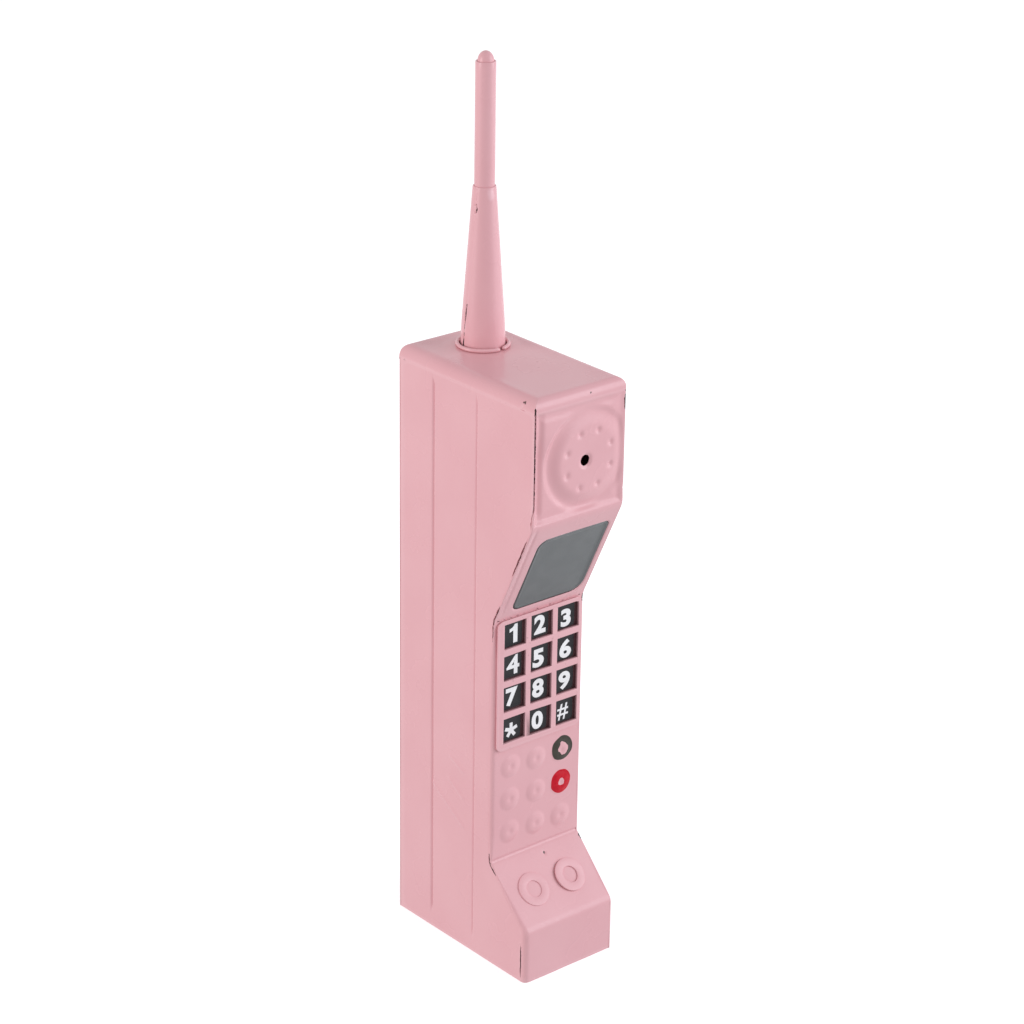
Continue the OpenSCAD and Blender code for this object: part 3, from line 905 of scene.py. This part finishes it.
def cone_profile():
    """Closed outline: up the outside, over the mouth, and down the inside."""
    wall, bend = 0.5, 2.5
    foot_z = cone_low[2]
    zs = [foot_z + 0.3]
    for start, end, spacing in ((foot_z + 3, 217, 3.0), (217, TAPER_Z + 15, 0.5),
                                (TAPER_Z + 15, CONE_TOP - 11, 2.0), (CONE_TOP - 11, CONE_TOP - 0.3, 0.4)):
        zs += list(np.arange(start, end, spacing))

    def radius(z):
        return cone_r(z) - 0.08 * math.exp(-((z - TAPER_Z) / bend) ** 2)

    outside = [(FOOT_R - 0.25, foot_z)] + [(radius(z), z) for z in zs]
    lip = [(MOUTH_R - 0.06, CONE_TOP - 0.12), (MOUTH_R - 0.22, CONE_TOP), (MAST_R + 0.12, CONE_TOP),
           (MAST_R + 0.05, CONE_TOP - 0.2)]
    inside = [(MAST_R + 0.05, CONE_TOP - 4), (radius(CONE_TOP - 4) - wall, CONE_TOP - 4.2),
              (FOOT_R - wall, TAPER_Z), (FOOT_R - wall, foot_z + 0.1)]
    return outside + lip + inside


cone = piece("antenna_cone_sheet", *turned(cone_profile(), 160, cone_shape), "antenna", ["antenna_cone"])

RING_R = 8.8
GAP_DIR, GAP = -85.0, 7.0


def wire_ring():
    """The bent wire, with rounded ends at its gap."""
    verts = []
    steps, around = 120, 14
    start, end = math.radians(GAP_DIR + GAP / 2), math.radians(GAP_DIR + 360 - GAP / 2)
    for k in range(steps + 1):
        t = k / steps
        a = start + (end - start) * t
        end_round = min(1, min(t, 1 - t) * steps / 2.0)
        w = WIRE_R * math.sqrt(max(0.12, 1 - (1 - end_round) ** 2)) * 0.99
        big = RING_R - 0.02 + 0.02 * math.sin(4 * a)
        lift = WIRE_R + 0.01
        for j in range(around):
            b = math.tau * j / around
            r = big + w * math.cos(b)
            z = BODY_H + lift + w * math.sin(b) * 0.98
            verts.append((AXIS_X + r * math.cos(a), AXIS_Y + r * math.sin(a), z))
    faces = band_faces(steps, around, wrap_steps=False)
    faces.append(list(range(around)))
    faces.append([steps * around + j for j in range(around)][::-1])
    return verts, faces


ring = piece("antenna_wire_ring", *wire_ring(), "antenna", ["antenna_ring"])


def tube_profile():
    r, wall, e = MAST_R, 0.6, 0.18
    z0, z1 = mast_low[2], mast_high[2]
    mids = list(np.linspace(z0 + e, z1 - e, 24))
    outside = [(r - e, z0)] + [(r, z) for z in mids]
    rim = [(r - e * (1 - math.cos(t)), z1 - e * (1 - math.sin(t))) for t in np.radians([30, 60, 90])]
    inner = [(r - wall + e * 0.5, z1), (r - wall, z1 - e), (r - wall, z0 + e), (r - wall + e * 0.5, z0)]
    return outside + rim + inner


def tube_shape(a, r, z):
    """The mast is a little out of round."""
    return r - 0.012 * (1 + math.sin(2 * a + z / 9))


mast = piece("antenna_mast_tube", *turned(tube_profile(), 72, tube_shape), "mast", ["antenna_mast"])


def dome():
    """The closed round tip that stands in the mast's mouth, with a small cast slot on its top."""
    z0, z1 = tip_low[2], tip_high[2]
    shoulder = mast_high[2] - 0.1
    profile = [(0.001, z0), (TIP_R - 0.3, z0), (TIP_R, z0 + 0.3), (TIP_R, shoulder)]
    rise = z1 - shoulder
    for k in range(1, 13):
        t = math.radians(90 * k / 12)
        profile.append((max(TIP_R * math.cos(t), 0.001), shoulder + rise * math.sin(t)))
    verts = []
    steps = 56
    for k in range(steps):
        a = math.tau * k / steps
        for r, z in profile:
            x, y = r * math.cos(a), r * math.sin(a)
            slot_cut = 0.45 * bell(y * 0.8 + x * 0.6, 0.35) * bell(math.hypot(x, y), 1.3)
            verts.append((AXIS_X + x, AXIS_Y + y, z - slot_cut * smooth(z1 - 1.2, z1, z)))
    return merge_poles(verts, band_faces(steps, len(profile), wrap_count=False))


def merge_poles(verts, faces, near=0.01):
    """Joins points that fall on one another, and drops what collapses."""
    seen, remap, kept = {}, [], []
    for v in verts:
        key = tuple(round(c / near) for c in v)
        if key not in seen:
            seen[key] = len(kept)
            kept.append(v)
        remap.append(seen[key])
    out = []
    for f in faces:
        g = []
        for i in f:
            if remap[i] not in g:
                g.append(remap[i])
        if len(g) > 2:
            out.append(g)
    return kept, out


tip = piece("antenna_tip_dome", *dome(), "mast", ["antenna_tip"])


# ---- Materials ----
class Nodes:
    """Short names for the nodes that the finishes share."""

    def __init__(self, name):
        self.mat = bpy.data.materials.new(name)
        self.mat.use_nodes = True
        self.tree = self.mat.node_tree
        self.bsdf = self.tree.nodes["Principled BSDF"]
        self.coords = self.add("ShaderNodeTexCoord").outputs["Object"]

    def add(self, kind, **settings):
        node = self.tree.nodes.new(kind)
        for key, value in settings.items():
            setattr(node, key, value)
        return node

    def link(self, source, socket):
        self.tree.links.new(source, socket)

    def noise(self, scale, detail=2.0, rough=0.5, distortion=0.0, stretch=None):
        node = self.add("ShaderNodeTexNoise")
        node.inputs["Scale"].default_value = scale
        node.inputs["Detail"].default_value = detail
        node.inputs["Roughness"].default_value = rough
        node.inputs["Distortion"].default_value = distortion
        source = self.coords
        if stretch:
            mapping = self.add("ShaderNodeMapping")
            mapping.inputs["Scale"].default_value = stretch
            self.link(self.coords, mapping.inputs["Vector"])
            source = mapping.outputs["Vector"]
        self.link(source, node.inputs["Vector"])
        return node.outputs["Fac"]

    def range(self, source, a, b, low=0.0, high=1.0):
        node = self.add("ShaderNodeMapRange", interpolation_type="SMOOTHSTEP")
        self.link(source, node.inputs["Value"])
        for key, value in (("From Min", a), ("From Max", b), ("To Min", low), ("To Max", high)):
            node.inputs[key].default_value = value
        return node.outputs["Result"]

    def math(self, operation, a, b=None):
        node = self.add("ShaderNodeMath", operation=operation)
        for k, v in enumerate((a, b)):
            if v is None:
                continue
            if isinstance(v, (int, float)):
                node.inputs[k].default_value = v
            else:
                self.link(v, node.inputs[k])
        return node.outputs[0]

    def mix(self, factor, a, b):
        node = self.add("ShaderNodeMix", data_type="RGBA")
        self.link(factor, node.inputs["Factor"])
        for socket, v in ((node.inputs[6], a), (node.inputs[7], b)):
            if isinstance(v, tuple):
                socket.default_value = (*v, 1)
            else:
                self.link(v, socket)
        return node.outputs[2]

    def edges(self, sharpness=0.07):
        """1 on convex edges."""
        pointy = self.add("ShaderNodeNewGeometry").outputs["Pointiness"]
        return self.range(pointy, 0.5 + sharpness * 0.4, 0.5 + sharpness)

    def spot(self, centre, radii, ragged=0.0, rough_scale=900.0, soft=0.04):
        """1 inside an ellipsoid, in millimetres, whose border noise makes ragged."""
        off = self.vector_math("SUBTRACT", self.coords, tuple(c * MM for c in centre))
        scaled = self.vector_math("DIVIDE", off.outputs[0], tuple(r * MM for r in radii))
        distance = self.vector_math("LENGTH", scaled.outputs[0]).outputs["Value"]
        if ragged:
            wobble = self.range(self.noise(rough_scale, 1.0), 0.25, 0.75, -ragged, ragged)
            distance = self.math("ADD", distance, wobble)
        return self.range(distance, 1 + soft, 1 - soft)

    def vector_math(self, operation, a, b=None):
        node = self.add("ShaderNodeVectorMath", operation=operation)
        for k, v in enumerate((a, b)):
            if v is not None and isinstance(v, (tuple, Vector)):
                node.inputs[k].default_value = v
            elif v is not None:
                self.link(v, node.inputs[k])
        return node

    def streak(self, start, end, width, ragged=0.3):
        """1 along a thin line between two places, in millimetres, finer towards its ends."""
        start, end = Vector(start) * MM, Vector(end) * MM
        along = end - start
        off = self.vector_math("SUBTRACT", self.coords, start).outputs[0]
        t = self.vector_math("DOT_PRODUCT", off, along / along.length_squared).outputs["Value"]
        t = self.math("MINIMUM", self.math("MAXIMUM", t, 0.0), 1.0)
        foot = self.vector_math("SCALE", along)
        self.link(t, foot.inputs["Scale"])
        distance = self.vector_math("LENGTH", self.vector_math("SUBTRACT", off, foot.outputs[0]).outputs[0])
        taper = self.math("MULTIPLY", self.math("MULTIPLY", t, self.math("SUBTRACT", 1.0, t)), 4 * 0.4)
        reach = self.math("MULTIPLY", self.math("ADD", taper, 0.6), width * MM)
        ratio = self.math("DIVIDE", distance.outputs["Value"], reach)
        wobble = self.range(self.noise(1100, 1.0), 0.25, 0.75, -ragged, ragged)
        return self.range(self.math("ADD", ratio, wobble), 1.15, 0.85)

    def axis_range(self, axis, a, b):
        """0 where this coordinate is a millimetres, 1 where it is b."""
        split = self.add("ShaderNodeSeparateXYZ")
        self.link(self.coords, split.inputs[0])
        return self.range(split.outputs["XYZ".index(axis)], a * MM, b * MM)

    def finish(self, colour, rough, bump_source=None, bump=0.0):
        if isinstance(colour, tuple):
            self.bsdf.inputs["Base Color"].default_value = (*colour, 1)
        else:
            self.link(colour, self.bsdf.inputs["Base Color"])
        self.link(rough, self.bsdf.inputs["Roughness"])
        if bump_source is not None:
            node = self.add("ShaderNodeBump")
            node.inputs["Strength"].default_value = 1.0
            node.inputs["Distance"].default_value = bump * MM
            self.link(bump_source, node.inputs["Height"])
            self.link(node.outputs["Normal"], self.bsdf.inputs["Normal"])
        return self.mat


PINK = (0.80, 0.435, 0.465)
PINK_DEEP = (0.72, 0.345, 0.38)
PINK_PALE = (0.84, 0.50, 0.53)
PINK_RUN = (0.86, 0.51, 0.55)
UNDERCOAT = (0.10, 0.055, 0.05)
SEAM_BARE_AND_SHADE = (0.035, 0.018, 0.016)
# Painted shade of the keypad wells, and how fully it is laid on
WELL_SHADE = (0.065, 0.018, 0.021)
WELL_SHADE_STRENGTH = 0.86


def enamel(name, spots=(), rings=(), pale=(), cuts=(), shade=None, wear=0.25):
    """Glossy sprayed pink enamel. spots are bare chips: (centre, radii). rings are painted rings:
    (centre, outer radii, inner radii, colour). pale are thick, lighter runs: (centre, radii).
    cuts are open seams and scratches, painted dark both for the bare metal and as painted shade inside the
    gap: (start, end, half width).
    shade is painted shade, darker the deeper a point lies in the recesses: pairs of places at which it
    begins and is full, two in y, four in x and two in z."""
    n = Nodes(name)
    gloss = 0.3
    specular = None
    drift = n.range(n.noise(34, 3.0), 0.3, 0.7)
    colour = n.mix(drift, PINK, tuple(0.75 * a + 0.25 * b for a, b in zip(PINK, PINK_DEEP)))
    specks = n.range(n.noise(2600, 1.0), 0.70, 0.78)
    colour = n.mix(n.math("MULTIPLY", specks, 0.16), colour, PINK_DEEP)
    colour = n.mix(n.math("MULTIPLY", n.edges(0.05), 0.35), colour, PINK_PALE)
    chips = n.math("MULTIPLY", n.edges(0.10), n.range(n.noise(620, 3.0, 0.7), 0.64, 0.70))
    colour = n.mix(n.math("MULTIPLY", chips, wear), colour, UNDERCOAT)
    # Painted shade: darker the deeper a point lies in the recess
    if shade:
        inside = n.math("MULTIPLY", n.axis_range("X", *shade[2:4]), n.axis_range("X", *shade[4:6]))
        inside = n.math("MULTIPLY", inside, n.axis_range("Z", *shade[6:8]))
        deep = n.math("MULTIPLY", n.axis_range("Y", *shade[:2]), inside)
        colour = n.mix(n.math("MULTIPLY", deep, WELL_SHADE_STRENGTH), colour, WELL_SHADE)
    for centre, outer, hole, paint in rings:
        ring_mask = n.math("SUBTRACT", n.spot(centre, outer, 0.035, 260, 0.035),
                           n.spot(centre, hole, 0.22, 500, 0.08))
        ring_mask = n.range(ring_mask, 0.2, 0.8)
        tone = n.mix(n.range(n.noise(700, 3.0), 0.35, 0.7), paint, tuple(1.12 * c + 0.006 for c in paint))
        colour = n.mix(ring_mask, colour, tone)
        matt = n.range(ring_mask, 0, 1, gloss, 0.1)
        specular = n.math("MINIMUM", specular, matt) if specular else matt
    for centre, radii in pale:
        colour = n.mix(n.spot(centre, radii, 0.2, 500, 0.4), colour, PINK_RUN)
    for centre, radii in spots:
        colour = n.mix(n.spot(centre, radii, 0.35, 1500, 0.2), colour, UNDERCOAT)
    rough = n.range(n.noise(55, 3.0), 0.3, 0.7, 0.2, 0.3)
    # Open seams: dark for the bare metal, and painted shade inside the gap
    for start, end, width in cuts:
        seam_metal_and_shade = n.streak(start, end, width)
        colour = n.mix(seam_metal_and_shade, colour, SEAM_BARE_AND_SHADE)
        rough = n.math("MAXIMUM", rough, seam_metal_and_shade)
    peel = n.math("ADD", n.noise(330, 2.0), n.math("MULTIPLY", n.noise(1300, 2.0), 0.12))
    n.bsdf.inputs["IOR"].default_value = 1.5
    n.bsdf.inputs["Specular IOR Level"].default_value = gloss
    if specular:
        n.link(specular, n.bsdf.inputs["Specular IOR Level"])
    return n.finish(colour, rough, peel, 0.018)


def satin(name, base, other, rough_low, rough_high, grain=900.0, specular=0.5):
    """Satin paint or printed card, with faint mottling and worn edges."""
    n = Nodes(name)
    n.bsdf.inputs["Specular IOR Level"].default_value = specular
    colour = n.mix(n.range(n.noise(120, 4.0), 0.3, 0.7), base, other)
    worn = tuple(min(1, c * 2.2 + 0.02) for c in base)
    colour = n.mix(n.math("MULTIPLY", n.edges(0.08), 0.25), colour, worn)
    rough = n.range(n.noise(240, 3.0), 0.3, 0.7, rough_low, rough_high)
    return n.finish(colour, rough, n.noise(grain, 3.0), 0.012)


def steel(name):
    """Plain rolled steel with fine lines along it and a little rust."""
    n = Nodes(name)
    n.bsdf.inputs["Metallic"].default_value = 1.0
    lines = n.noise(500, 3.0, 0.6, stretch=(1, 1, 0.05))
    colour = n.mix(n.range(lines, 0.3, 0.7), (0.44, 0.43, 0.42), (0.36, 0.35, 0.34))
    rust = n.range(n.noise(160, 4.0, 0.6), 0.62, 0.7)
    colour = n.mix(n.math("MULTIPLY", rust, 0.5), colour, (0.16, 0.08, 0.05))
    colour = n.mix(n.math("MULTIPLY", n.edges(0.08), 0.4), colour, (0.6, 0.59, 0.58))
    return n.finish(colour, n.range(lines, 0.3, 0.7, 0.3, 0.5), lines, 0.02)


def dress(ob, mat):
    ob.data.materials.clear()
    ob.data.materials.append(mat)


def seam_cuts(sign, runs, width):
    """Open stretches of the seam between the front and one side, through these heights, painted dark for the
    bare metal and as painted shade inside the gap.
    """
    return [(seam_place(a, sign), seam_place(b, sign), width) for run in runs for a, b in zip(run, run[1:])]


# Heights of the open stretches of the side seams, painted dark: bare metal and painted shade
SLITS_LEFT = ((2, 14), (36.6, 39.5, 40.1, 43.2), (125.5, 131.4, 133.6, 139.5), (153.5, 167.5))
SLITS_RIGHT = ((37.2, 39.2), (129.8, 132.8), (206.8, 211.6))
slits = seam_cuts(-1, SLITS_LEFT, 0.32) + seam_cuts(1, SLITS_RIGHT, 0.6)
# The slit down the head's left seam and its end under the cap, painted dark: bare metal and painted shade
slot_x = -HALF_W + HEAD_INSET[0] / 2 + 0.05
head_slit = [((slot_x, -HALF_D + 0.4, 180.5), (slot_x, -HALF_D + 0.4, CAP_Z + 0.5), 0.52)]
cap_slit = [((slot_x, -HALF_D, CAP_Z - 0.6), (slot_x + 0.1, -HALF_D + 0.05, CAP_Z + 2.0), 0.4)]
plain = enamel("pink_enamel")
seam_mat = enamel("pink_enamel_seams", cuts=slits)
upper_mat = enamel("pink_enamel_head", cuts=slits + head_slit)
# Margins inside the keypad frame's outline over which the wells' painted shade fades in
WALL = (0.6, 1.0)
well_shade_mat = enamel("pink_enamel_wells_painted_shade", shade=(KEYPAD_Y - 0.75, KEYPAD_Y + 0.3, grid_low[0] + WALL[0],
                                              grid_low[0] + WALL[1], grid_high[0] - WALL[0],
                                              grid_high[0] - WALL[1], grid_low[2] + WALL[0],
                                              grid_low[2] + WALL[1]))
front_mat = enamel("pink_enamel_front", spots=[((2.7, -18.8, 37.5), (0.42, 0.8, 0.45))], cuts=slits,
                   rings=[((12.0, KEYPAD_Y, 75.2), (4.8, 30, 4.7), (2.2, 30, 2.3), (0.062, 0.054, 0.044)),
                          ((11.6, KEYPAD_Y, 62.1), (4.5, 30, 4.5), (1.3, 30, 1.2), (0.55, 0.008, 0.022))])
top_mat = enamel("pink_enamel_top", spots=[((-HALF_W, -29.8, 216.2), (1.2, 0.95, 0.55)),
                                            ((4.5, -35.2, 215.8), (0.4, 0.7, 0.35))], cuts=cap_slit)


def on_cone(angle, r, z):
    a = math.radians(angle)
    return (AXIS_X + r * math.cos(a), AXIS_Y + r * math.sin(a), z)


def cone_cut(angles, heights, width):
    """A dark streak on the cone between two places, each an angle and a height: bare metal and painted shade
    in the open seam and at the nick.
    """
    a, b = (on_cone(angle, cone_r(z) - 0.35, z) for angle, z in zip(angles, heights))
    return (a, b, width)


# Open stretches of the cone's seam and the nick's edge, painted dark: bare metal and painted shade
seam_ends = [(seam_angle(z), z) for z in (216.2, 221.5, 227.5, 233.8)]
seam_widths = (0.42, 0.24, 0.34)
cone_cuts = [cone_cut(*zip(p, q), width) for p, q, width in zip(seam_ends, seam_ends[1:], seam_widths)]
nick_ends = [(NICK_ANGLE + turn, NICK_Z + up) for turn, up in ((14, 1.7), (19, 0.2), (12, -1.2))]
cone_cuts += [cone_cut(*zip(p, q), 0.32) for p, q in zip(nick_ends, nick_ends[1:])]
paint_run = (on_cone(RUN_ANGLE, MOUTH_R + 0.1, RUN_Z), (1.3, 1.3, 1.9))
cone_mat = enamel("pink_enamel_cone", cuts=cone_cuts, pale=[paint_run])
for ob in (back, ring, mast, tip, *washers):
    dress(ob, plain)
for side in ("left", "right"):
    dress(bpy.data.objects[f"{side}_side_sheet"], seam_mat)
dress(front_upper, upper_mat)
dress(keypad, well_shade_mat)
dress(front_lower, front_mat)
dress(top, top_mat)
dress(cone, cone_mat)
dress(display, satin("grey_satin", (0.105, 0.112, 0.115), (0.12, 0.125, 0.128), 0.4, 0.5))
black = satin("black_satin", (0.018, 0.018, 0.02), (0.026, 0.026, 0.028), 0.45, 0.6, specular=0.22)
for ob in plates:
    dress(ob, black)
white = satin("white_ink", (0.9, 0.89, 0.9), (0.84, 0.82, 0.83), 0.45, 0.6)
for ob in digits:
    dress(ob, white)
bare = steel("rolled_steel")
# The keypad back plate takes the wells' material, so it lies fully in their painted shade
for node, mat in (("bottom_plate", plain), ("keypad_back_plate", well_shade_mat),
                  ("antenna_socket", bare), ("mast_stop", bare)):
    dress(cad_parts[node], mat)

# ---- Stage, light and camera ----
floor_mesh = bpy.data.meshes.new("floor")
reach = 6.0
bend, back_edge, height = 1.5, 4.0, 3.0
sweep = [(-reach, 0.0), (back_edge, 0.0)]
for k in range(1, 13):
    t = math.radians(90 * k / 12)
    sweep.append((back_edge + bend * math.sin(t), bend * (1 - math.cos(t))))
sweep.append((back_edge + bend, bend + height))
turn = math.radians(-40.3)
verts = []
for side in (-reach, reach):
    for y, z in sweep:
        verts.append((side * math.cos(turn) - y * math.sin(turn),
                      side * math.sin(turn) + y * math.cos(turn), z))
count = len(sweep)
floor_mesh.from_pydata(verts, [], [[i, count + i, count + i + 1, i + 1] for i in range(count - 1)])
floor_mesh.polygons.foreach_set("use_smooth", [True] * len(floor_mesh.polygons))
floor = new_object("floor", floor_mesh)
floor.visible_diffuse = False
floor_nodes = Nodes("pale_floor")
floor_nodes.bsdf.inputs["Base Color"].default_value = (0.93, 0.93, 0.93, 1)
floor_nodes.bsdf.inputs["Roughness"].default_value = 0.9
floor_nodes.bsdf.inputs["Emission Color"].default_value = (1, 1, 1, 1)
floor_nodes.bsdf.inputs["Emission Strength"].default_value = 0.45
dress(floor, floor_nodes.mat)

world = bpy.data.worlds.new("studio")
world.use_nodes = True
world.node_tree.nodes["Background"].inputs["Color"].default_value = (0.97, 1, 1.03, 1)
world.node_tree.nodes["Background"].inputs["Strength"].default_value = 0.54
bpy.context.scene.world = world


def softbox(name, place, target, size, power, colour):
    data = bpy.data.lights.new(name, "AREA")
    data.shape = "RECTANGLE"
    data.size, data.size_y = size
    data.energy = power
    data.color = colour
    lamp = new_object(name, data)
    lamp.location = place
    lamp.rotation_euler = (Vector(target) - Vector(place)).to_track_quat("-Z", "Y").to_euler()


MIDDLE = (0, 0, 0.14)
softbox("left_softbox", (-1.6, 0.42, 0.5), MIDDLE, (0.9, 0.9), 14.0, (1, 0.95, 0.95))
softbox("front_softbox", (1.15, -1.15, 0.6), MIDDLE, (1.3, 1.3), 19.5, (0.97, 1, 1.05))

# Camera: where the picture was taken from, as angles, distance and roll about the aim
LENS, AZIMUTH, ELEVATION, CAM_ROLL = 107.3, -40.303, 22.675, 0.819
DISTANCE, ASIDE, UPWARD, AIM_Z = 1050.19, 1.13, 11.82, 150.0
a, e, roll = (math.radians(v) for v in (AZIMUTH, ELEVATION, CAM_ROLL))
toward = Vector((math.sin(a) * math.cos(e), -math.cos(a) * math.cos(e), math.sin(e)))
right = (-toward).cross(Vector((0, 0, 1))).normalized()
up = right.cross(-toward)
right, up = right * math.cos(roll) + up * math.sin(roll), up * math.cos(roll) - right * math.sin(roll)
camera_data = bpy.data.cameras.new("camera")
camera_data.lens = LENS
camera_data.sensor_width = 36
camera_data.clip_end = 50
camera = new_object("camera", camera_data)
place = (Vector((0, 0, AIM_Z)) + toward * DISTANCE + right * ASIDE + up * UPWARD) * MM
camera.matrix_world = Matrix.Translation(place) @ Matrix((right, up, toward)).transposed().to_4x4()
bpy.context.scene.camera = camera
bpy.context.scene.view_settings.view_transform = "Standard"
